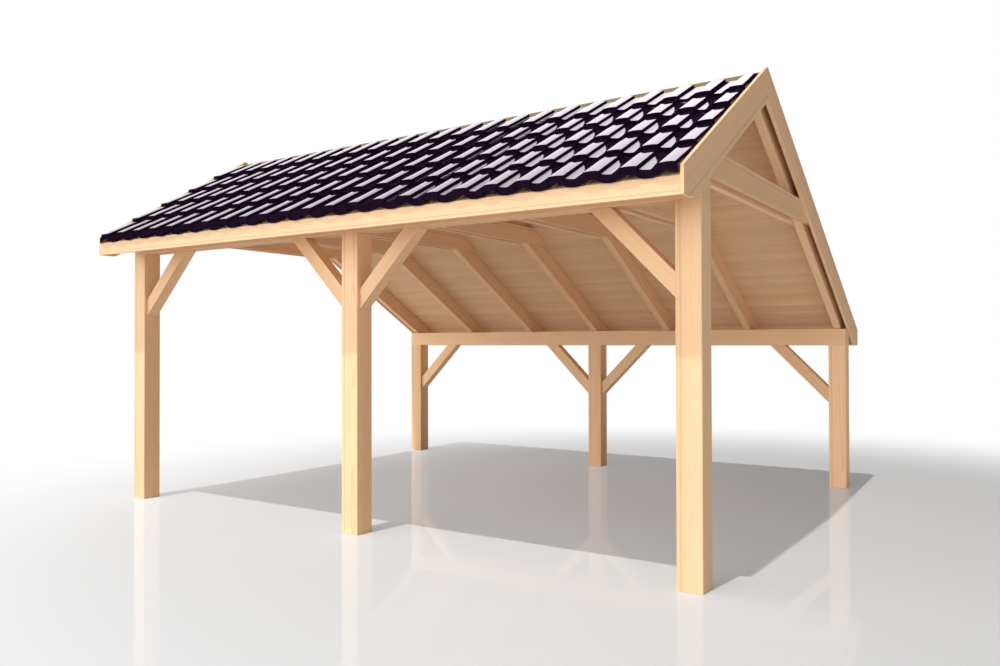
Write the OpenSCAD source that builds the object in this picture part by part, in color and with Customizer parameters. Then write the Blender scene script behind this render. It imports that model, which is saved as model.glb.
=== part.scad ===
// Open-sided timber shed with an uneven gable roof, in millimetres.
// The length runs along X, the tall open front faces -Y and the ground is Z = 0.
// The origin is on the ground in the middle of the plan.

/* [Posts and plates] */
// Length over the end posts
frame_length = 5145; // [4000:5:6500]
// Depth over the front and rear posts
frame_depth = 3950; // [3300:5:5000]
// Side of the square posts
post_side = 150; // [120:5:180]
// Height of the plates that lie on the posts
plate_height = 150; // [120:5:200]
// Ground to the underside of the front plate
front_clear = 2130; // [1950:10:2500]
// Ground to the underside of the rear plate
rear_clear = 1320; // [1150:10:1500]

/* [Knee braces] */
// Side of the square brace timber
brace_side = 100; // [60:5:120]
// Leg of the brace's upper edge on the post and on the plate
brace_leg = 400; // [250:10:600]

/* [Trusses] */
// Number of trusses, one at each gable included
truss_count = 7; // [5:1:9]
// Thickness of the rafters
rafter_thick = 60; // [40:2:70]
// Depth of the rafters, square to the slope
rafter_depth = 150; // [130:5:200]
// Thickness of the two tie planks of a truss
tie_thick = 45; // [30:1:60]
// Height of the tie planks
tie_height = 150; // [100:5:180]
// Front face of the posts to the ridge
ridge_back = 1215; // [1000:5:1500]
// Pitch of the front slope in degrees
front_pitch = 31; // [27:0.5:35]
// Rise of the rear rafters' underside over the plate's inner corner
rear_heel = 10; // [2:1:25]
// Height left of the rafters behind the fascia boards
tail_nose = 30; // [20:1:45]

/* [Roof boards] */
// Thickness of the roof boarding
board_thick = 18; // [15:1:24]
// Post face to the outer face of the fascia
overhang = 312; // [240:4:380]
// Thickness of the fascia boards
fascia_thick = 24; // [18:1:32]
// Thickness of the bargeboards
barge_thick = 22; // [16:1:30]
// Height of the bargeboards over the roof boarding, square to the slope
barge_cover = 45; // [20:1:70]
// Width of the bargeboards
barge_width = 200; // [180:2:240]
// Height of the plumb ends of the bargeboards
barge_end = 152; // [130:2:170]
// Thickness of the ridge board
ridge_thick = 25; // [18:1:40]
// Height of the ridge board over the boarding
ridge_rise = 23; // [0:1:40]

/* [Tile covering] */
// Courses of tiles on the front slope
front_courses = 5; // [4:1:6]
// Courses of tiles on the rear slope
rear_courses = 10; // [8:1:12]
// Height of a course's crests over the boarding at its nose
tile_nose = 73; // [55:1:90]
// Height of those crests where the next course covers them
tile_head = 42; // [30:1:50]
// Height of the eave tiles' underside over the boarding
tile_lift = 5; // [2:1:35]
// Reach of the eave tiles past the fascia
tile_reach = 26; // [10:2:50]
// Gap between the tiles and the bargeboards
tile_gap = 3; // [1:0.5:6]
// Bare boarding between the top courses and the ridge board, along the slope
tile_stop = 120; // [20:5:180]
// Width that one roll and its pan cover
tile_cover = 217; // [180:1:260]
// Depth of the pans under the rolls
pan_depth = 28; // [10:1:34]
// Cut strip of pan at the left verge, seen from the eave
verge_strip = 52; // [20:1:160]
// Gap between the head of a course and the nose that follows it
course_gap = 3; // [1:0.5:8]

/* [Hidden] */
half_x = frame_length / 2;
front_y = -frame_depth / 2;
rear_y = frame_depth / 2;
ridge_y = front_y + ridge_back;
front_seat = [front_y + post_side, front_clear + plate_height];
rear_seat = [rear_y - post_side, rear_clear + plate_height];
front_slope = tan(front_pitch);
ridge_z = front_seat[1] + front_slope * (ridge_y - front_seat[0]);
rear_slope = (ridge_z - rear_seat[1] - rear_heel) / (rear_seat[0] - ridge_y);
front_cos = cos(front_pitch);
rear_cos = cos(atan(rear_slope));
board_top = rafter_depth + board_thick;
barge_top = board_top + barge_cover;
front_eave = front_y - overhang;
rear_eave = rear_y + overhang;
truss_step = (frame_length - post_side) / (truss_count - 1);
pair_thick = rafter_thick + 2 * tie_thick;
brace_inset = (post_side - brace_side) / 2;
// A roll and its pan: parts of tile_cover across, parts of pan_depth down.
roll_profile = [[0, 0], [0.30, 0], [0.52, 1], [0.71, 1]];

// Height of the plane that lies up above the rafters' underside, square to the slope.
function front_z(y, up = 0) = ridge_z - front_slope * (ridge_y - y) + up / front_cos;
function rear_z(y, up = 0) = ridge_z - rear_slope * (y - ridge_y) + up / rear_cos;
// Depth at which those planes reach a height, and where the two planes meet.
function front_at(z, up = 0) = ridge_y - (ridge_z + up / front_cos - z) / front_slope;
function rear_at(z, up = 0) = ridge_y + (ridge_z + up / rear_cos - z) / rear_slope;
function peak_y(up) = ridge_y + up * (1 / rear_cos - 1 / front_cos) / (front_slope + rear_slope);
function truss_x(i) = -half_x + post_side / 2 + i * truss_step;

front_end_z = front_z(front_eave, barge_top) - barge_end;
rear_end_z = rear_z(rear_eave, barge_top) - barge_end;

front_timber = [0.93, 0.80, 0.62];
side_timber = [0.88, 0.74, 0.56];
board_timber = [0.80, 0.66, 0.48];
glazed_black = [0.10, 0.06, 0.11];

function numbered(name) = [for (i = [1 : truss_count]) str(name, i)];

// An outline in depth and height, carried along X.
module along_x(x0, x1)
    translate([x0, 0, 0]) rotate([90, 0, 90]) linear_extrude(x1 - x0) children();

// A square post whose outer corner is at the given X and Y side.
module post(x, y, height)
    color(front_timber) translate([x, y, 0]) cube([post_side, post_side, height]);

module plate(y, z)
    color(front_timber) translate([-half_x, y, z]) cube([frame_length, post_side, plate_height]);

// The two braces of one bay, each from a post face up to the plate.
module brace_pair(x_left, x_right, y, z) {
    low_leg = brace_leg + brace_side * sqrt(2);
    outline = [[0, -low_leg], [0, -brace_leg], [brace_leg, 0], [low_leg, 0]];
    color(front_timber)
        for (side = [[x_left, 0], [x_right, 1]])
            translate([side[0], y + brace_inset + brace_side, z])
                mirror([side[1], 0, 0]) rotate([90, 0, 0]) linear_extrude(brace_side) polygon(outline);
}

// Each rafter is notched over its plate, and its tail is cut level behind the fascia.
module front_rafter(i) {
    tail_y = front_eave + fascia_thick;
    low = front_z(tail_y);
    top = front_z(tail_y, rafter_depth);
    color(side_timber) along_x(truss_x(i) - rafter_thick / 2, truss_x(i) + rafter_thick / 2) difference() {
        polygon([
            [tail_y, low],
            [ridge_y, ridge_z],
            [ridge_y, front_z(ridge_y, rafter_depth)],
            [tail_y, top]
        ]);
        translate([front_y, low - 1]) square([post_side + 1, front_seat[1] - low + 1]);
        translate([tail_y - 1, low - 1]) square([front_seat[0] - tail_y + 1, top - tail_nose - low + 1]);
    }
}

module rear_rafter(i) {
    tail_y = rear_eave - fascia_thick;
    low = rear_z(tail_y);
    top = rear_z(tail_y, rafter_depth);
    color(side_timber) along_x(truss_x(i) - rafter_thick / 2, truss_x(i) + rafter_thick / 2) difference() {
        polygon([
            [ridge_y, ridge_z],
            [tail_y, low],
            [tail_y, top],
            [ridge_y, rear_z(ridge_y, rafter_depth)]
        ]);
        translate([rear_seat[0] - 1, low - 1]) square([post_side + 1, rear_seat[1] - low + 1]);
        translate([rear_seat[0], low - 1]) square([tail_y - rear_seat[0] + 1, top - tail_nose - low + 1]);
    }
}

// Two planks that clasp the rafters and lie on the front plate.
module tie_planks(i) {
    low = front_seat[1];
    high = low + tie_height;
    color(side_timber)
        for (x = [-pair_thick / 2, rafter_thick / 2])
            along_x(truss_x(i) + x, truss_x(i) + x + tie_thick) polygon([
                [front_at(low, rafter_depth), low],
                [rear_at(low, rafter_depth), low],
                [rear_at(high, rafter_depth), high],
                [front_at(high, rafter_depth), high]
            ]);
}

// The board on edge that the boarding of both slopes meets.
module ridge_board() {
    y0 = ridge_y - ridge_thick / 2;
    y1 = ridge_y + ridge_thick / 2;
    top = rear_z(ridge_y, board_top) + ridge_rise;
    color(board_timber) along_x(-half_x, half_x) polygon([
        [y0, front_z(y0, rafter_depth)],
        [ridge_y, front_z(ridge_y, rafter_depth)],
        [ridge_y, rear_z(ridge_y, rafter_depth)],
        [y1, rear_z(y1, rafter_depth)],
        [y1, top],
        [y0, top]
    ]);
}

module front_boarding() {
    y0 = front_eave + fascia_thick;
    y1 = ridge_y - ridge_thick / 2;
    color(board_timber) along_x(-half_x, half_x) polygon([
        [y0, front_z(y0, rafter_depth)],
        [y1, front_z(y1, rafter_depth)],
        [y1, front_z(y1, board_top)],
        [y0, front_z(y0, board_top)]
    ]);
}

module rear_boarding() {
    y0 = ridge_y + ridge_thick / 2;
    y1 = rear_eave - fascia_thick;
    color(board_timber) along_x(-half_x, half_x) polygon([
        [y0, rear_z(y0, rafter_depth)],
        [y1, rear_z(y1, rafter_depth)],
        [y1, rear_z(y1, board_top)],
        [y0, rear_z(y0, board_top)]
    ]);
}

module front_fascia() {
    y1 = front_eave + fascia_thick;
    color(front_timber) along_x(-half_x, half_x) polygon([
        [front_eave, front_end_z],
        [y1, front_end_z],
        [y1, front_z(y1, board_top)],
        [front_eave, front_z(front_eave, board_top)]
    ]);
}

module rear_fascia() {
    y0 = rear_eave - fascia_thick;
    color(front_timber) along_x(-half_x, half_x) polygon([
        [y0, rear_end_z],
        [rear_eave, rear_end_z],
        [rear_eave, rear_z(rear_eave, board_top)],
        [y0, rear_z(y0, board_top)]
    ]);
}

// Bargeboards meet in a plumb joint and end plumb, with a level cut below.
module front_barge(x0) {
    y_joint = peak_y(barge_top);
    low = barge_top - barge_width;
    color(side_timber) along_x(x0, x0 + barge_thick) polygon([
        [front_eave, front_end_z],
        [front_at(front_end_z, low), front_end_z],
        [y_joint, front_z(y_joint, low)],
        [y_joint, front_z(y_joint, barge_top)],
        [front_eave, front_z(front_eave, barge_top)]
    ]);
}

module rear_barge(x0) {
    y_joint = peak_y(barge_top);
    low = barge_top - barge_width;
    color(side_timber) along_x(x0, x0 + barge_thick) polygon([
        [y_joint, rear_z(y_joint, low)],
        [rear_at(rear_end_z, low), rear_end_z],
        [rear_eave, rear_end_z],
        [rear_eave, rear_z(rear_eave, barge_top)],
        [y_joint, rear_z(y_joint, barge_top)]
    ]);
}

// The rolls and pans of a course that faces -Y, run up the slope from its nose to its head.
module rolls(nose, head) {
    run = head - nose;
    first = -half_x + verge_strip - tile_cover;
    wave = [
        for (i = [0 : ceil(frame_length / tile_cover) + 1])
            for (corner = roll_profile)
                [first + (i + corner[0]) * tile_cover, -corner[1] * pan_depth]
    ];
    low = -2 * tile_nose;
    translate([0, nose[0], nose[1]]) rotate([90 + atan2(run[1], run[0]), 0, 0])
        translate([0, 0, -norm(run) - tile_nose]) linear_extrude(norm(run) + 2 * tile_nose)
            polygon(concat(wave, [[wave[len(wave) - 1][0], low], [first, low]]));
}

// Each course lies on the boarding, and its nose stands over the head of the one below.
module front_tiles() {
    y0 = front_eave - tile_reach;
    y1 = ridge_y - ridge_thick / 2 - tile_stop * front_cos;
    step = (y1 - y0) / front_courses;
    color(glazed_black) for (i = [0 : front_courses - 1]) {
        nose_y = y0 + i * step;
        head_y = nose_y + step;
        nose = [nose_y, front_z(nose_y, board_top + tile_nose)];
        head = [head_y, front_z(head_y, board_top + tile_head)];
        end_y = i < front_courses - 1 ? head_y - course_gap : head_y;
        rest_y = i > 0 ? nose_y : front_eave;
        lift = i > 0 ? 0 : tile_lift;
        intersection() {
            rolls(nose, head);
            along_x(-half_x + tile_gap, half_x - tile_gap) polygon([
                [nose_y, nose[1] + tile_nose],
                [end_y, head[1] + tile_nose],
                [end_y, front_z(end_y, board_top)],
                [rest_y, front_z(rest_y, board_top)],
                [rest_y, front_z(rest_y, board_top + lift)],
                [nose_y, front_z(nose_y, board_top + lift)]
            ]);
        }
    }
}

module rear_tiles() {
    y0 = rear_eave + tile_reach;
    y1 = ridge_y + ridge_thick / 2 + tile_stop * rear_cos;
    step = (y0 - y1) / rear_courses;
    color(glazed_black) for (i = [0 : rear_courses - 1]) {
        nose_y = y0 - i * step;
        head_y = nose_y - step;
        nose = [nose_y, rear_z(nose_y, board_top + tile_nose)];
        head = [head_y, rear_z(head_y, board_top + tile_head)];
        end_y = i < rear_courses - 1 ? head_y + course_gap : head_y;
        rest_y = i > 0 ? nose_y : rear_eave;
        lift = i > 0 ? 0 : tile_lift;
        intersection() {
            rotate([0, 0, 180]) rolls([-nose_y, nose[1]], [-head_y, head[1]]);
            along_x(-half_x + tile_gap, half_x - tile_gap) polygon([
                [nose_y, nose[1] + tile_nose],
                [end_y, head[1] + tile_nose],
                [end_y, rear_z(end_y, board_top)],
                [rest_y, rear_z(rest_y, board_top)],
                [rest_y, rear_z(rest_y, board_top + lift)],
                [nose_y, rear_z(nose_y, board_top + lift)]
            ]);
        }
    }
}

post(-half_x, front_y, front_clear);  // front_post_left
post(-post_side / 2, front_y, front_clear);  // front_post_middle
post(half_x - post_side, front_y, front_clear);  // front_post_right
post(-half_x, rear_seat[0], rear_clear);  // rear_post_left
post(-post_side / 2, rear_seat[0], rear_clear);  // rear_post_middle
post(half_x - post_side, rear_seat[0], rear_clear);  // rear_post_right
plate(front_y, front_clear);  // front_plate
plate(rear_seat[0], rear_clear);  // rear_plate
brace_pair(-half_x + post_side, -post_side / 2, front_y, front_clear);  // front_braces_left_bay
brace_pair(post_side / 2, half_x - post_side, front_y, front_clear);  // front_braces_right_bay
brace_pair(-half_x + post_side, -post_side / 2, rear_seat[0], rear_clear);  // rear_braces_left_bay
brace_pair(post_side / 2, half_x - post_side, rear_seat[0], rear_clear);  // rear_braces_right_bay
for (i = [0 : truss_count - 1]) {
    front_rafter(i);
    rear_rafter(i);
    tie_planks(i);
}
ridge_board();
front_boarding();
rear_boarding();
front_fascia();
rear_fascia();
front_barge(-half_x - barge_thick);  // front_bargeboard_left
front_barge(half_x);  // front_bargeboard_right
rear_barge(-half_x - barge_thick);  // rear_bargeboard_left
rear_barge(half_x);  // rear_bargeboard_right
front_tiles();
rear_tiles();
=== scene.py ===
"""Open-sided garden shed: planed fir frame, tongue and groove roof boards, black glazed clay tiles.

Lengths are in metres. The long front faces -Y, X runs along the length and Z = 0 is the ground.
"""
import math

import bpy
import numpy as np
from mathutils import Matrix, Vector


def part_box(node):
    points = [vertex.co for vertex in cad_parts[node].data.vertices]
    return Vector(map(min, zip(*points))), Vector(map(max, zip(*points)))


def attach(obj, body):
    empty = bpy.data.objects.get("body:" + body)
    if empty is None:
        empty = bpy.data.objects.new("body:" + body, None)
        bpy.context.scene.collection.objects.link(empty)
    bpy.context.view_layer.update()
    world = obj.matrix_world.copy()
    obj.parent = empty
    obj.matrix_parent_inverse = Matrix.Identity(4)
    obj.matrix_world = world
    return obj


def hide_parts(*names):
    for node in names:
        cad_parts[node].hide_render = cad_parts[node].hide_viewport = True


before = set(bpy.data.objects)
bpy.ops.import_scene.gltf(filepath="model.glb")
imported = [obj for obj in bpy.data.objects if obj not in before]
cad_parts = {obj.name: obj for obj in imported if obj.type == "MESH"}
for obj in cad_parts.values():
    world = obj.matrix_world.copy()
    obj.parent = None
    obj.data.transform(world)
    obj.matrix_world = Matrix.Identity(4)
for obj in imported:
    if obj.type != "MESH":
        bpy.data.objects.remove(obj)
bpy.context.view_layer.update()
chance = np.random.default_rng(41)
X, Y, Z = 0, 1, 2

# The frame.
TRUSSES = 7
RAFTER_DEPTH = 0.150
FRONT_PITCH = math.radians(31)
REAR_HEEL = 0.010           # from the rear plate's inner top edge up to the rafters' undersides

# Timber: the growth rings, how far edges are eased, how far the heart of the log lies from the
# middle of a stick, and how much sticks differ in tone.
RING_WIDTH = 0.007
RING_CONTRAST = 0.26
BEAM_EASE = 0.003
PLANK_EASE = 0.002
ROOF_BOARD_EASE = 0.0006
STICK_HEART = (0.03, 0.09)
ROOF_BOARD_HEART = (0.04, 0.12)
TONE_SPREAD = 0.02
NO_STRIP = -1.0             # a share that keeps the darker strips off a board

# The roof boards.
BOARD_THICK = 0.018
BOARD_COVER = 0.1308        # from one joint to the next
FIRST_JOINT = 0.039         # from the ridge line down to the first joint
LEAST_BOARD = 0.06          # no board is cut narrower than this
JOINT_VEE = 0.0035
JOINT_HALF_GAP = 0.0006

# The roof tiles.
TILE_COVER = 0.217          # from one column to the next
TILE_LAP = 0.060            # the part of a tile under the course above
TILE_FALL = 0.070           # how much a tile sinks towards its head, as a share of its length
TILE_BODY = 0.012           # thickness of the clay
TILE_PLAY = 0.0010          # how far tiles lie out of line
LIP_RUN = 0.05              # from the nose back to where the lip meets the underside
LIP_CLEARANCE = 0.0015      # between the lip and the tile below
EAVE_LIP = 0.047            # depth of the plumb lip at the eave
CREST_OVER_BOARDS = 0.073   # from the boards to the top of a roll at the nose
HEAD_OVER_BOARDS = 0.02     # the height over the boards at which the top course starts
COVER_HALF = 2.5695         # the tiles end at the bargeboards' inner faces
COLUMNS = np.arange(-1, 24)
FIRST_ROLL = -2.520         # where column 0 starts
SHARP = math.radians(18)    # faces that meet at a larger angle than this keep a sharp edge


# ---------------------------------------------------------------- colour and nodes

def srgb(code):
    """Linear colour of an sRGB hex value."""
    part = np.array([int(code[i:i + 2], 16) for i in (1, 3, 5)]) / 255
    linear = np.where(part <= 0.04045, part / 12.92, ((part + 0.055) / 1.055) ** 2.4)
    return (*linear.tolist(), 1.0)


def add(tree, kind, inputs=None, **settings):
    """Adds a shader node; inputs maps a socket to its value or to the socket that feeds it."""
    made = tree.nodes.new("ShaderNode" + kind)
    for key, value in settings.items():
        setattr(made, key, value)
    for key, value in (inputs or {}).items():
        if isinstance(value, bpy.types.NodeSocket):
            tree.links.new(value, made.inputs[key])
        else:
            made.inputs[key].default_value = value
    return made


def new_material(name):
    material = bpy.data.materials.new(name)
    material.use_nodes = True
    material.node_tree.nodes.clear()
    return material, material.node_tree


# ---------------------------------------------------------------- finishes

def planed_fir(name, early, late, heart):
    """Fir planed smooth: pale early wood, thin darker late wood, fine fibres, a soft sheen."""
    material, tree = new_material(name)
    grain = add(tree, "Attribute", attribute_name="grain")
    # Trees don't grow straight: rings wander by a few millimetres over a metre.
    slow = add(tree, "Mapping", {"Vector": grain.outputs["Vector"], "Scale": (0.9, 5.0, 5.0)})
    wander = add(tree, "TexNoise", {"Vector": slow.outputs[0], "Scale": 1.0, "Detail": 2.0})
    shift = add(tree, "VectorMath", {0: wander.outputs["Color"], 1: (0.5, 0.5, 0.5)},
                operation="SUBTRACT")
    shift = add(tree, "VectorMath", {0: shift.outputs[0], 1: (0.0, 0.034, 0.034)},
                operation="MULTIPLY")
    bent = add(tree, "VectorMath", {0: grain.outputs["Vector"], 1: shift.outputs[0]},
               operation="ADD")
    # Growth rings are circles round the heart of the log, the local X axis.
    across = add(tree, "VectorMath", {0: bent.outputs[0], 1: (0.0, 1.0, 1.0)}, operation="MULTIPLY")
    radius = add(tree, "VectorMath", {0: across.outputs[0]}, operation="LENGTH")
    turns = add(tree, "Math", {0: radius.outputs["Value"], 1: RING_WIDTH}, operation="DIVIDE")
    year = add(tree, "Math", {0: turns.outputs[0]}, operation="FRACT")
    rise = add(tree, "MapRange", {"Value": year.outputs[0], "From Min": 0.45, "From Max": 0.90},
               interpolation_type="SMOOTHSTEP")
    fall = add(tree, "MapRange", {"Value": year.outputs[0], "From Min": 0.92, "From Max": 1.0,
                                  "To Min": 1.0, "To Max": 0.0}, interpolation_type="SMOOTHSTEP")
    line = add(tree, "Math", {0: rise.outputs[0], 1: fall.outputs[0]}, operation="MULTIPLY")
    # Some years grow a stronger line than others.
    count = add(tree, "Math", {0: turns.outputs[0]}, operation="FLOOR")
    vigour = add(tree, "TexWhiteNoise", {"W": count.outputs[0]}, noise_dimensions="1D")
    line = add(tree, "Math", {0: line.outputs[0], 1: vigour.outputs["Value"]}, operation="MULTIPLY")
    line = add(tree, "Math", {0: line.outputs[0], 1: RING_CONTRAST}, operation="MULTIPLY")
    # A darker strip runs along a stick near one edge, and a narrower one by the other edge.
    share = add(tree, "Attribute", attribute_name="share")
    stray = add(tree, "Math", {0: wander.outputs[0], 1: 0.06, 2: share.outputs["Fac"]},
                operation="MULTIPLY_ADD")
    for middle, half, depth in ((0.21, 0.055, 0.5), (0.99, 0.03, 0.3)):
        off = add(tree, "Math", {0: stray.outputs[0], 1: middle}, operation="SUBTRACT")
        off = add(tree, "Math", {0: off.outputs[0]}, operation="ABSOLUTE")
        strip = add(tree, "MapRange", {"Value": off.outputs[0], "From Max": half, "To Min": depth,
                                       "To Max": 0.0}, interpolation_type="SMOOTHSTEP")
        line = add(tree, "Math", {0: line.outputs[0], 1: strip.outputs[0]}, operation="MAXIMUM")
    # Fibres about 1.5 mm apart and decimetres long.
    fine = add(tree, "Mapping", {"Vector": grain.outputs["Vector"], "Scale": (4.0, 330.0, 330.0)})
    fibre = add(tree, "TexNoise", {"Vector": fine.outputs[0], "Scale": 1.0, "Detail": 3.0,
                                   "Roughness": 0.6})
    # Each stick comes from another tree, and darkens a little towards its heart.
    stick = add(tree, "Attribute", attribute_name="tone")
    near = add(tree, "MapRange", {"Value": radius.outputs["Value"], "From Min": 0.12,
                                  "From Max": 0.02})
    base = add(tree, "Mix", {0: near.outputs[0], 6: srgb(early), 7: srgb(heart)}, data_type="RGBA")
    rings = add(tree, "Mix", {0: line.outputs[0], 6: base.outputs[2], 7: srgb(late)},
                data_type="RGBA")
    streak = add(tree, "MapRange", {"Value": fibre.outputs[0], "From Min": 0.3, "From Max": 0.7,
                                    "To Min": 0.93, "To Max": 1.05})
    streak = add(tree, "Math", {0: streak.outputs[0], 1: stick.outputs["Fac"]},
                 operation="MULTIPLY")
    colour = add(tree, "VectorMath", {0: rings.outputs[2], "Scale": streak.outputs[0]},
                 operation="SCALE")
    gloss = add(tree, "MapRange", {"Value": line.outputs[0], "To Min": 0.58, "To Max": 0.48})
    relief = add(tree, "Bump", {"Height": fibre.outputs[0], "Strength": 0.12, "Distance": 0.0006})
    skin = add(tree, "BsdfPrincipled", {"Base Color": colour.outputs[0],
                                        "Roughness": gloss.outputs[0],
                                        "Normal": relief.outputs[0], "IOR": 1.45,
                                        "Specular IOR Level": 0.35})
    add(tree, "OutputMaterial", {"Surface": skin.outputs[0]})
    return material


def black_glaze(name):
    """Clay under a fired black glaze: near black with a plum cast, a mirror at a flat angle."""
    material, tree = new_material(name)
    place = add(tree, "TexCoord")
    # The glaze pools in waves a few centimetres long.
    wave = add(tree, "TexNoise", {"Vector": place.outputs["Object"], "Scale": 22.0, "Detail": 1.0})
    cloud = add(tree, "TexNoise", {"Vector": place.outputs["Object"], "Scale": 4.0, "Detail": 3.0})
    tint = add(tree, "Mix", {0: cloud.outputs[0], 6: srgb("#120815"), 7: srgb("#201024")},
               data_type="RGBA")
    relief = add(tree, "Bump", {"Height": wave.outputs[0], "Strength": 0.12, "Distance": 0.0010})
    gloss = add(tree, "MapRange", {"Value": cloud.outputs[0], "To Min": 0.04, "To Max": 0.07})
    skin = add(tree, "BsdfPrincipled", {"Base Color": tint.outputs[2],
                                        "Roughness": gloss.outputs[0],
                                        "Normal": relief.outputs[0], "IOR": 1.5,
                                        "Specular Tint": srgb("#6A4A70")})
    add(tree, "OutputMaterial", {"Surface": skin.outputs[0]})
    return material


# ---------------------------------------------------------------- timber

def outlines(node, axis):
    """The node's solids as outlines carried along an axis.

    The flat cap at each solid's low end is found in its triangles; the cap's border edges, the ones
    that a single triangle uses, are chained into the outline. Returns (outline, low, high) each,
    with the outline in the next two axes, turning from the first to the second.
    """
    hair = 1e-5
    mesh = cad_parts[node].data
    mesh.calc_loop_triangles()
    co = np.array([v.co for v in mesh.vertices])
    tri = np.array([t.vertices for t in mesh.loop_triangles])
    corner = np.round(co, 5)
    _, same = np.unique(corner, axis=0, return_inverse=True)
    same = same.reshape(-1)
    first = {s: i for i, s in reversed(list(enumerate(same)))}
    u, v = (axis + 1) % 3, (axis + 2) % 3
    level = corner[tri][:, :, axis]
    flat = np.ptp(level, axis=1) < hair
    normal = np.cross(co[tri[:, 1]] - co[tri[:, 0]], co[tri[:, 2]] - co[tri[:, 0]])[:, axis]
    lows = np.unique(level[flat & (normal < 0), 0])
    highs = np.unique(level[flat & (normal > 0), 0])
    found = []
    for low, high in zip(lows, highs):
        caps = same[tri[flat & (normal < 0) & (np.abs(level[:, 0] - low) < hair)]]
        edges = {(a, b) for t in caps for a, b in zip(t, np.roll(t, -1))}
        border = {b: a for a, b in edges if (b, a) not in edges}
        while border:
            start, at = border.popitem()
            loop = [start]
            while at != start:
                loop.append(at)
                at = border.pop(at)
            found.append((co[[first[s] for s in loop]][:, [u, v]], low, high))
    return found


def eased_ring(outline, radius, inset):
    """The outline with its outer corners rounded by three points on an arc, moved in by inset.

    Corners that don't turn are left out. An inner corner stays a single point.
    """
    before = outline - np.roll(outline, 1, axis=0)
    before /= np.linalg.norm(before, axis=1)[:, None]
    after = np.roll(before, -1, axis=0)
    n1 = np.stack([before[:, 1], -before[:, 0]], 1)
    n2 = np.stack([after[:, 1], -after[:, 0]], 1)
    turn = before[:, 0] * after[:, 1] - before[:, 1] * after[:, 0]
    keep = np.abs(turn) > 1e-4
    outline, n1, n2, turn = outline[keep], n1[keep], n2[keep], turn[keep]
    mitre = (n1 + n2) / (1 + (n1 * n2).sum(1))[:, None]
    middle = (n1 + n2) / np.linalg.norm(n1 + n2, axis=1)[:, None]
    arc = np.stack([n1, middle, n2], 1)
    outer = (outline - radius * mitre)[:, None] + (radius - inset) * arc
    inner = (outline - inset * mitre)[:, None]
    points = np.where((turn > 0)[:, None, None], outer, inner)
    once = np.where(turn > 0, 3, 1)
    return np.concatenate([p[:k] for p, k in zip(points, once)])


def prism(outline, axis, low, high, radius):
    """Vertices and faces of an outline carried along an axis, with rounded edges all round.

    Four rings: the two end rings are the outline moved in, the two others are its full size, and
    flat caps close the ends.
    """
    bevel = 0.7 * radius
    rings = []
    for inset, at in ((bevel, low), (0.0, low + bevel), (0.0, high - bevel), (bevel, high)):
        flat = eased_ring(outline, radius, inset)
        ring = np.empty((len(flat), 3))
        ring[:, axis] = at
        ring[:, (axis + 1) % 3], ring[:, (axis + 2) % 3] = flat[:, 0], flat[:, 1]
        rings.append(ring)
    n = len(rings[0])
    i = np.arange(n)
    j = np.roll(i, -1)
    sides = np.concatenate([np.stack([k * n + i, k * n + j, (k + 1) * n + j, (k + 1) * n + i], 1)
                            for k in range(3)])
    return np.concatenate(rings), sides.tolist() + [i[::-1].tolist(), (3 * n + i).tolist()]


def along_grain(points, outline, axis, low, high, spread):
    """Each point as distances along and across its stick, measured from the heart of the log, and
    its share of the way across the stick's wider side.

    The grain runs along the longer of the carrying axis and the outline's longest edge. The heart
    lies within the spread, (least, most), of the stick's middle.
    """
    edge = np.roll(outline, -1, axis=0) - outline
    length = np.linalg.norm(edge, axis=1)
    way = np.zeros(3)
    if high - low > length.max():
        way[axis] = 1
    else:
        longest = edge[length.argmax()]
        way[(axis + 1) % 3], way[(axis + 2) % 3] = longest / length.max()
    side = np.zeros(3)
    side[(axis + 1) % 3 if way[axis] else axis] = 1
    other = np.cross(way, side)
    from_middle = points - (points.min(0) + points.max(0)) / 2
    reach = chance.uniform(*spread)
    turn = chance.uniform(0, 2 * math.pi)
    local = from_middle @ np.stack([way, side, other], 1)
    wide = np.ptp(local, axis=0)
    # A stick that is square to a millimetre counts as wider in its first side.
    wider = 1 if wide[1] > wide[2] - 0.001 else 2
    share = (local[:, wider] - local[:, wider].min()) / wide[wider]
    # Each stick is cut from another place along the log.
    cut_at = chance.uniform(-40, 40)
    return local + np.array([cut_at, reach * math.cos(turn), reach * math.sin(turn)]), share


def new_piece(name, points, faces, material, grain=None, **floats):
    """A mesh object from whole arrays, at the origin, riding on the root body.

    The grain and the other point values are kept on the mesh for its material to read.
    """
    mesh = bpy.data.meshes.new(name)
    mesh.from_pydata(points, [], faces)
    mesh.materials.append(material)
    if grain is not None:
        layer = mesh.attributes.new("grain", "FLOAT_VECTOR", "POINT")
        layer.data.foreach_set("vector", np.asarray(grain, np.float32).ravel())
    for key, values in floats.items():
        layer = mesh.attributes.new(key, "FLOAT", "POINT")
        layer.data.foreach_set("value", np.asarray(values, np.float32))
    mesh.update()
    piece = bpy.data.objects.new(name, mesh)
    bpy.context.scene.collection.objects.link(piece)
    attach(piece, "root")
    return piece


def joined(solids):
    """Several (points, faces, grain, share, tone) as one set of points, faces and point values."""
    points, faces, grain, share, tone = zip(*solids)
    whole, start = [], 0
    for own_points, own_faces in zip(points, faces):
        whole += [[i + start for i in face] for face in own_faces]
        start += len(own_points)
    tone = [np.full(len(p), t) for p, t in zip(points, tone)]
    points, grain, share, tone = map(np.concatenate, (points, grain, share, tone))
    return points, whole, dict(grain=grain, share=share, tone=tone)


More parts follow.
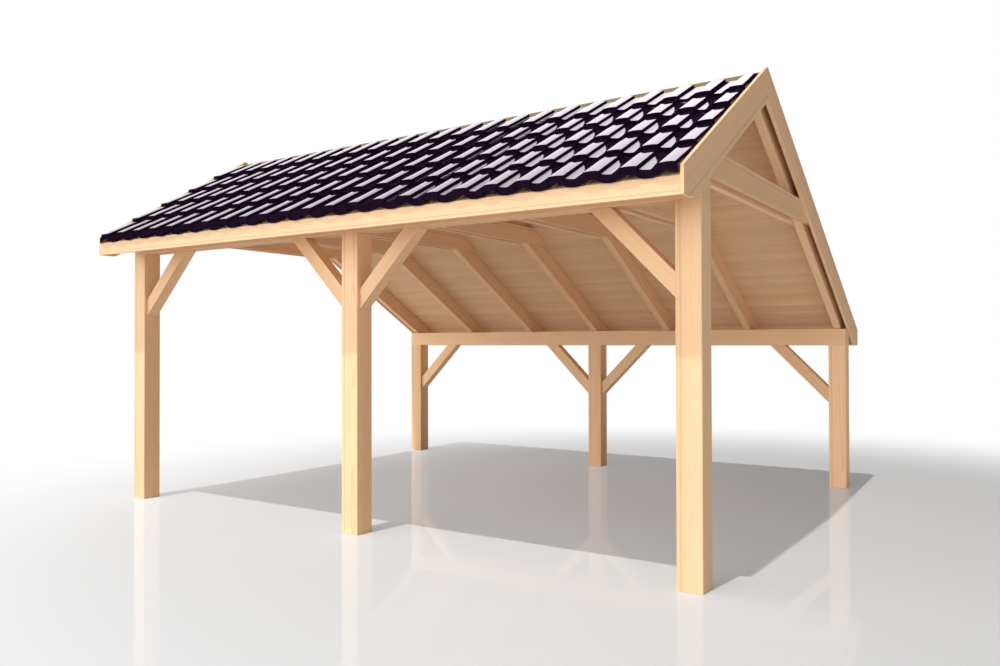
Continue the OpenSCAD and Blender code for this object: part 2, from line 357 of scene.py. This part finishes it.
def sticks(node, axis, material, radius=BEAM_EASE, tone=1.0):
    """Replaces a timber node by the same outlines with eased edges and a run of grain."""
    solids = []
    for outline, low, high in outlines(node, axis):
        points, faces = prism(outline, axis, low, high, radius)
        grain, share = along_grain(points, outline, axis, low, high, STICK_HEART)
        solids.append((points, faces, grain, share, tone * chance.normal(1, TONE_SPREAD)))
    points, faces, fields = joined(solids)
    piece = new_piece(node + "_timber", points, faces, material, **fields)
    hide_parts(node)


# ---------------------------------------------------------------- the two roof planes

# The undersides of the rafters meet at the ridge line, in the middle of the ridge board's width.
_, plate_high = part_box("front_plate")
rear_low, rear_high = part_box("rear_plate")
ridge_low, ridge_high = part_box("ridge_board")
ridge_y = (ridge_low.y + ridge_high.y) / 2
ridge_z = plate_high.z + math.tan(FRONT_PITCH) * (ridge_y - plate_high.y)
REAR_PITCH = math.atan2(ridge_z - rear_high.z - REAR_HEEL, rear_low.y - ridge_y)


class Slope:
    """A roof plane, laid on the rafters' undersides. A point on it is (x, s, up): s leads down the
    slope from the ridge line, and up leads square to the slope.
    """

    def __init__(self, pitch, side):
        self.cos, self.sin, self.side = math.cos(pitch), math.sin(pitch), side

    def place(self, x, s, up):
        y = ridge_y + self.side * (s * self.cos + up * self.sin)
        z = ridge_z - s * self.sin + up * self.cos
        return np.stack(np.broadcast_arrays(x, y, z), -1)

    def down_to(self, y, up):
        """The s at which the plane at that height reaches y."""
        return ((y - ridge_y) * self.side - up * self.sin) / self.cos


front_slope = Slope(FRONT_PITCH, -1)
rear_slope = Slope(REAR_PITCH, 1)


def boarding(node, slope, material):
    """Tongue and groove boards laid along X, each a flat prism with a V joint on its underside."""
    low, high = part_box(node)
    y_top, y_end = (high.y, low.y) if slope.side < 0 else (low.y, high.y)
    under, over = RAFTER_DEPTH, RAFTER_DEPTH + BOARD_THICK
    s_top = slope.down_to(y_top, under), slope.down_to(y_top, over)
    s_end = slope.down_to(y_end, under), slope.down_to(y_end, over)
    joints = FIRST_JOINT + BOARD_COVER * np.arange(math.ceil(s_end[0] / BOARD_COVER))
    joints = joints[(joints > s_top[0] + LEAST_BOARD) & (joints < s_end[0] - LEAST_BOARD)]
    # A board's start and end are each (s underneath, s on top).
    starts = [s_top] + [(j + JOINT_HALF_GAP, j + JOINT_HALF_GAP) for j in joints]
    ends = [(j - JOINT_HALF_GAP, j - JOINT_HALF_GAP) for j in joints] + [s_end]
    solids = []
    for k, (start, end) in enumerate(zip(starts, ends)):
        # The first board has no V at its start, and the last none at its end.
        start_vee = JOINT_VEE if k else 0.0
        end_vee = JOINT_VEE if k < len(starts) - 1 else 0.0
        section = [(start[0] + start_vee, under), (end[0] - end_vee, under)]
        if end_vee:
            section.append((end[0], under + end_vee))
        section += [(end[1], over), (start[1], over)]
        if start_vee:
            section.append((start[0], under + start_vee))
        ring = slope.place(0.0, *np.array(section).T)[:, 1:]
        area = (ring[:, 0] * np.roll(ring[:, 1], -1) - ring[:, 1] * np.roll(ring[:, 0], -1)).sum()
        ring = ring if area > 0 else ring[::-1]
        points, faces = prism(ring, X, low.x, high.x, ROOF_BOARD_EASE)
        grain, _ = along_grain(points, ring, X, low.x, high.x, ROOF_BOARD_HEART)
        solids.append((points, faces, grain, np.full(len(points), NO_STRIP),
                       chance.normal(1, TONE_SPREAD)))
    points, faces, fields = joined(solids)
    piece = new_piece(node + "_boards", points, faces, material, **fields)
    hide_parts(node)


# ---------------------------------------------------------------- roof tiles

# One roll and pan across a tile, from the roll's open edge: (across, height). The roll is a flat
# arch that breaks off steeply at 92 mm; the pan is hollowed to 152 mm and climbs to the next roll.
ROLL = np.array([(0, 0), (0.012, 0.0016), (0.026, 0.0025), (0.045, 0.0025), (0.065, 0.0017),
                 (0.080, 0.0005), (0.092, -0.0014), (0.101, -0.0195), (0.108, -0.0222),
                 (0.120, -0.0252), (0.136, -0.0276), (0.152, -0.0286), (0.165, -0.0284),
                 (0.178, -0.0260), (0.190, -0.0205), (0.202, -0.0120), (0.214, -0.0015)])
TILE_WIDTH = ROLL[-1, 0]


def tiles(node, slope, courses, material):
    """Rows of roll tiles, each a closed loop along the slope carried across the roll's curve.

    A point on a tile is (across, along): its height is the roll's height there, less the tile's
    fall along its length; the loop runs from the head over the top to the nose, down its lip and
    back below. The lip rests on the tile below. At the eave it hangs plumb over the fascia.
    """
    low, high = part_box(node)
    board_top = RAFTER_DEPTH + BOARD_THICK
    crest = board_top + CREST_OVER_BOARDS
    nose_y, head_y = (low.y, high.y) if slope.side < 0 else (high.y, low.y)
    s_nose = slope.down_to(nose_y, crest)
    s_head = slope.down_to(head_y, board_top + HEAD_OVER_BOARDS)
    course = (s_nose - s_head) / courses
    # Columns from one verge to the other; the two at the verges are cut to fit.
    first = FIRST_ROLL + TILE_COVER * COLUMNS
    cut = np.stack([np.maximum(first, -COVER_HALF), np.minimum(first + TILE_WIDTH, COVER_HALF)], 1)
    across = (cut[:, :1] - first[:, None]) + (cut[:, 1:] - cut[:, :1]) * (ROLL[:, 0] / TILE_WIDTH)
    lift = np.interp(across, ROLL[:, 0], ROLL[:, 1]) - ROLL[:, 1].max()
    x = -slope.side * (first[:, None] + across)
    # The loop along one tile is head, nose, foot of the lip, back of the lip, head underneath. Each
    # point has its way up the slope from the nose and its drop. The top course has no lap.
    length = np.full(courses, course + TILE_LAP)
    length[-1] = course
    along = np.zeros((courses, 1, 1, 5))
    along[:, 0, 0, 0] = along[:, 0, 0, 4] = length
    along[..., 3] = LIP_RUN
    lip = TILE_FALL * course - LIP_CLEARANCE
    drop = np.array([0, 0, -lip, -TILE_BODY, -TILE_BODY])
    # The axes of s and up are the course, the column, the place across and the place in the loop.
    # Play moves a tile down the slope and lifts it, or draws it back and lowers it.
    row = np.arange(courses)[:, None, None, None]
    play = chance.normal(0, TILE_PLAY, (courses, len(COLUMNS), 1, 1))
    s = s_nose - row * course - along + 0.6 * play
    up = crest + lift[None, :, :, None] + drop - TILE_FALL * along + 0.4 * play
    # At the eave the lip hangs plumb and keeps its depth, so it dips over the fascia at each pan.
    s[0, :, :, 2] = s[0, :, :, 1] + EAVE_LIP * slope.sin
    up[0, :, :, 2] = up[0, :, :, 1] - EAVE_LIP * slope.cos
    points = slope.place(x[None, :, :, None], s, up).reshape(-1, 3)
    m, n = len(ROLL), len(drop)
    i, j = np.meshgrid(np.arange(m - 1), np.arange(n), indexing="ij")
    k = (j + 1) % n
    quads = np.stack([i * n + j, (i + 1) * n + j, (i + 1) * n + k, i * n + k], -1).reshape(-1, 4)
    ends = np.array([np.arange(n), (m - 1) * n + np.arange(n)[::-1]])
    # Every tile has the same faces, from its own first point on. Going from head to nose on top and
    # then along X makes them point outwards.
    start = np.arange(courses * len(COLUMNS))[:, None, None] * (m * n)
    quads = (quads + start).reshape(-1, 4)
    ends = (ends + start).reshape(-1, n)
    faces = quads.tolist() + ends.tolist()
    piece = new_piece(node + "_rows", points, faces, material)
    piece.data.shade_smooth()
    piece.data.set_sharp_from_angle(angle=SHARP)
    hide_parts(node)


# ---------------------------------------------------------------- the shed

# Warm pale fir for the frame, a little darker for the roof boards, and grey-brown for the ridge
# board: painted shade, darker than the frame for the shade it lies in under the tiles' heads, so
# that it shows as a dull line between the black tiles and the backdrop.
frame_fir = planed_fir("planed_fir_frame", "#EFC59C", "#C98C5E", "#E9BC90")
board_fir = planed_fir("planed_fir_roof_boards", "#EBC39A", "#C48A5E", "#E0B58A")
# The ridge board's grey-brown fir is painted shade.
ridge_fir_painted_shade = planed_fir("painted_shade_fir_ridge", "#8E7B63", "#6B5842", "#85725B")
glaze = black_glaze("black_glazed_clay")

for place, front_tone, rear_tone in (("left", 1.0, 0.97), ("middle", 1.05, 1.0),
                                     ("right", 1.0, 1.12)):
    sticks("front_post_" + place, Z, frame_fir, tone=front_tone)
    sticks("rear_post_" + place, Z, frame_fir, tone=rear_tone)
for side in ("front", "rear"):
    sticks(side + "_plate", X, frame_fir)
    sticks(side + "_braces_left_bay", Y, frame_fir)
    sticks(side + "_braces_right_bay", Y, frame_fir)
    sticks(side + "_fascia", X, frame_fir, PLANK_EASE)
    sticks(side + "_bargeboard_left", X, frame_fir, PLANK_EASE)
    sticks(side + "_bargeboard_right", X, frame_fir, PLANK_EASE)
sticks("ridge_board", X, ridge_fir_painted_shade, PLANK_EASE)
for number in range(1, TRUSSES + 1):
    sticks("front_rafter_%d" % number, X, frame_fir)
    sticks("rear_rafter_%d" % number, X, frame_fir)
    sticks("tie_planks_%d" % number, X, frame_fir)
boarding("front_boarding", front_slope, board_fir)
boarding("rear_boarding", rear_slope, board_fir)
tiles("front_tiles", front_slope, courses=5, material=glaze)
tiles("rear_tiles", rear_slope, courses=10, material=glaze)


# ---------------------------------------------------------------- floor, light and camera

# The floor fades to white between two distances from a point under the roof.
FLOOR_HALF = 60
FLOOR_CENTRE = (1.4, 0.2, 0.0)
FADE_FROM, FADE_TO = 3.2, 7.0
FLOOR_GREY = 0.33           # this share of what the eye sees is a plain pale grey, unlit
FLOOR_DIMMED = 0.75         # how much darker gloss sees the floor
WAX_SHARE = 0.5             # of a full mirror's strength

# The gloss screen stands on a line at 45 degrees to X and Y, through the foot at (x, y). Each of
# its corners is (distance along the line, height).
DIAGONAL = 0.707            # the cosine of 45 degrees
SCREEN_FOOT = (-4.243, 2.743)
SCREEN_CORNERS = ((-5.0, 3.04), (6.0, 3.92), (6.0, 14.0), (-5.0, 14.0))

# The sun shines along this way. The camera's turn, tilt and lean are in radians.
SUN_WAY = (0.04, 0.375, -1.0)
CAMERA_PLACE = (4.107, -6.264, 1.354)
CAMERA_TURN, CAMERA_TILT, CAMERA_LEAN = 0.5834, 0.0110, -0.0022


def studio_face(name, points, material):
    """A single face that belongs to the studio and not to the shed."""
    mesh = bpy.data.meshes.new(name)
    mesh.from_pydata(points, [], [(0, 1, 2, 3)])
    mesh.materials.append(material)
    made = bpy.data.objects.new(name, mesh)
    bpy.context.scene.collection.objects.link(made)
    return made


def studio_floor():
    """A wide pale floor, waxed so that it mirrors softly at a flat angle."""
    material, tree = new_material("studio_floor")
    place = add(tree, "TexCoord")
    off = add(tree, "VectorMath", {0: place.outputs["Object"], 1: FLOOR_CENTRE},
              operation="SUBTRACT")
    away = add(tree, "VectorMath", {0: off.outputs[0]}, operation="LENGTH")
    fade = add(tree, "MapRange", {"Value": away.outputs["Value"], "From Min": FADE_FROM,
                                  "From Max": FADE_TO}, interpolation_type="SMOOTHSTEP")
    ray = add(tree, "LightPath")
    fade = add(tree, "Math", {0: fade.outputs[0], 1: ray.outputs["Is Camera Ray"]},
               operation="MULTIPLY")
    near = add(tree, "BsdfDiffuse", {"Color": srgb("#D3D3D5")})
    # The grey is paler towards the left: painted light, for the light that falls from the front
    # left.
    left = add(tree, "SeparateXYZ", {0: place.outputs["Object"]})
    left = add(tree, "MapRange", {"Value": left.outputs["X"], "From Min": 5.0, "From Max": -4.0,
                                  "To Min": 0.35, "To Max": 1.45})
    pale_grey_and_painted_light = add(tree, "Emission", {"Color": (0.985, 1.0, 1.02, 1.0), "Strength": left.outputs[0]})
    share = add(tree, "Math", {0: ray.outputs["Is Camera Ray"], 1: FLOOR_GREY},
                operation="MULTIPLY")
    near = add(tree, "MixShader", {0: share.outputs[0], 1: near.outputs[0], 2: pale_grey_and_painted_light.outputs[0]})
    # Gloss sees the floor dim, so that the tiles' noses stay dark.
    dim = add(tree, "Emission", {"Strength": 0.0})
    share = add(tree, "Math", {0: ray.outputs["Is Glossy Ray"], 1: FLOOR_DIMMED},
                operation="MULTIPLY")
    near = add(tree, "MixShader", {0: share.outputs[0], 1: near.outputs[0], 2: dim.outputs[0]})
    wax = add(tree, "BsdfGlossy", {"Color": (1, 1, 1, 1), "Roughness": 0.02})
    flat = add(tree, "Fresnel", {"IOR": 1.45})
    flat = add(tree, "Math", {0: flat.outputs[0], 1: WAX_SHARE}, operation="MULTIPLY")
    near = add(tree, "MixShader", {0: flat.outputs[0], 1: near.outputs[0], 2: wax.outputs[0]})
    far = add(tree, "Emission", {"Color": (1, 1, 1, 1), "Strength": 1.0})
    both = add(tree, "MixShader", {0: fade.outputs[0], 1: near.outputs[0], 2: far.outputs[0]})
    add(tree, "OutputMaterial", {"Surface": both.outputs[0]})
    corners = ((-1, -1), (1, -1), (1, 1), (-1, 1))
    points = [(FLOOR_HALF * x, FLOOR_HALF * y, 0) for x, y in corners]
    floor = studio_face("studio_floor", points, material)


def lobe(tree, way, towards, power, colour):
    """Light that is strongest in one direction and falls off by a power of the cosine."""
    lean = add(tree, "VectorMath", {0: way, 1: towards}, operation="DOT_PRODUCT")
    lean = add(tree, "Math", {0: lean.outputs["Value"], 1: 0.0}, operation="MAXIMUM")
    lean = add(tree, "Math", {0: lean.outputs[0], 1: power}, operation="POWER")
    return add(tree, "VectorMath", {0: colour, "Scale": lean.outputs[0]}, operation="SCALE")


def studio_world():
    """White backdrop for the eye, and soft light from the front left for the shed.

    Gloss sees a white wall in front only: the light behind comes from the gloss screen.
    """
    world = bpy.data.worlds.new("studio")
    world.use_nodes = True
    tree = world.node_tree
    tree.nodes.clear()
    way = add(tree, "TexCoord").outputs["Generated"]
    part = add(tree, "SeparateXYZ", {0: way})
    # The wall's foot and its top, as heights on the sphere of directions.
    wall = add(tree, "MapRange", {"Value": part.outputs["Z"], "From Min": 0.36, "From Max": 0.44},
               interpolation_type="SMOOTHSTEP")
    ceiling = add(tree, "MapRange", {"Value": part.outputs["Z"], "From Min": 0.70,
                                     "From Max": 0.80, "To Min": 1.0, "To Max": 0.02},
                  interpolation_type="SMOOTHSTEP")
    front = add(tree, "MapRange", {"Value": part.outputs["Y"], "From Min": 0.0, "From Max": -0.3},
                interpolation_type="SMOOTHSTEP")
    wall = add(tree, "Math", {0: wall.outputs[0], 1: ceiling.outputs[0]}, operation="MULTIPLY")
    wall = add(tree, "Math", {0: wall.outputs[0], 1: front.outputs[0]}, operation="MULTIPLY")
    # A strong cool light level with the ground, a weak one above it, and a little from all round.
    level = lobe(tree, way, towards=(-0.45, -0.89, 0.0), power=3.0, colour=(3.1, 3.3, 3.3))
    raised = lobe(tree, way, towards=(-0.33, -0.70, 0.63), power=4.0, colour=(0.2, 0.2, 0.18))
    fill = add(tree, "VectorMath", {0: level.outputs[0], 1: raised.outputs[0]}, operation="ADD")
    fill = add(tree, "VectorMath", {0: fill.outputs[0], 1: (0.31, 0.30, 0.295)}, operation="ADD")
    ray = add(tree, "LightPath")
    wall = add(tree, "Background", {"Color": wall.outputs[0], "Strength": 1.0})
    fill = add(tree, "Background", {"Color": fill.outputs[0], "Strength": 1.0})
    white = add(tree, "Background", {"Color": (1, 1, 1, 1), "Strength": 1.0})
    gloss = add(tree, "Math", {0: ray.outputs["Is Glossy Ray"],
                               1: ray.outputs["Is Transmission Ray"]}, operation="MAXIMUM")
    seen = add(tree, "MixShader", {0: gloss.outputs[0], 1: fill.outputs[0], 2: wall.outputs[0]})
    seen = add(tree, "MixShader", {0: ray.outputs["Is Camera Ray"], 1: seen.outputs[0],
                                   2: white.outputs[0]})
    add(tree, "OutputWorld", {"Surface": seen.outputs[0]})
    bpy.context.scene.world = world


def gloss_screen():
    """A tall white screen behind and to the left, seen by the tiles' gloss alone.

    It draws the white lights on the rolls, and grows brighter to the right and upwards.
    """
    material, tree = new_material("gloss_screen")
    place = add(tree, "TexCoord")
    side = add(tree, "VectorMath", {0: place.outputs["Object"], 1: (DIAGONAL, DIAGONAL, 0.0)},
               operation="DOT_PRODUCT")
    strength = add(tree, "MapRange", {"Value": side.outputs["Value"], "From Min": -5.0,
                                      "From Max": 4.0, "To Min": 1.8, "To Max": 2.4})
    height = add(tree, "SeparateXYZ", {0: place.outputs["Object"]})
    height = add(tree, "MapRange", {"Value": height.outputs["Z"], "From Min": 7.0, "From Max": 12.0,
                                    "To Min": 1.0, "To Max": 1.5})
    strength = add(tree, "Math", {0: strength.outputs[0], 1: height.outputs[0]},
                   operation="MULTIPLY")
    light = add(tree, "Emission", {"Color": (1.0, 0.93, 1.0, 1.0),
                                   "Strength": strength.outputs[0]})
    add(tree, "OutputMaterial", {"Surface": light.outputs[0]})
    foot_x, foot_y = SCREEN_FOOT
    points = [(foot_x + DIAGONAL * a, foot_y + DIAGONAL * a, z) for a, z in SCREEN_CORNERS]
    screen = studio_face("gloss_screen", points, material)
    screen.visible_camera = screen.visible_diffuse = screen.visible_shadow = False
    # It lights the tiles alone, so that the floor doesn't mirror it.
    lit = bpy.data.collections.new("lit_by_screen")
    for name in ("front_tiles_rows", "rear_tiles_rows"):
        lit.objects.link(bpy.data.objects[name])
    screen.light_linking.receiver_collection = lit


studio_floor()
studio_world()
gloss_screen()

# A high sun from the front, so that the shadow falls behind the shed.
sun = bpy.data.objects.new("key_lamp", bpy.data.lights.new("key_lamp", "SUN"))
sun.data.energy = 2.4
sun.data.angle = math.radians(0.8)
sun.data.color = (1.0, 0.985, 0.94)
sun.rotation_mode = "QUATERNION"
sun.rotation_quaternion = Vector(SUN_WAY).to_track_quat("-Z", "Y")
bpy.context.scene.collection.objects.link(sun)

camera = bpy.data.objects.new("camera", bpy.data.cameras.new("camera"))
ahead = Vector((-math.sin(CAMERA_TURN) * math.cos(CAMERA_TILT),
                math.cos(CAMERA_TURN) * math.cos(CAMERA_TILT), math.sin(CAMERA_TILT)))
level = Vector((math.cos(CAMERA_TURN), math.sin(CAMERA_TURN), 0))
upward = level.cross(ahead)
right = math.cos(CAMERA_LEAN) * level + math.sin(CAMERA_LEAN) * upward
above = math.cos(CAMERA_LEAN) * upward - math.sin(CAMERA_LEAN) * level
x, y, z = CAMERA_PLACE
camera.matrix_world = Matrix(((right.x, above.x, -ahead.x, x), (right.y, above.y, -ahead.y, y),
                              (right.z, above.z, -ahead.z, z), (0, 0, 0, 1)))
camera.data.lens = 29.75
camera.data.sensor_width = 36
camera.data.clip_end = 300
bpy.context.scene.collection.objects.link(camera)
bpy.context.scene.camera = camera
bpy.context.scene.view_settings.view_transform = "Standard"
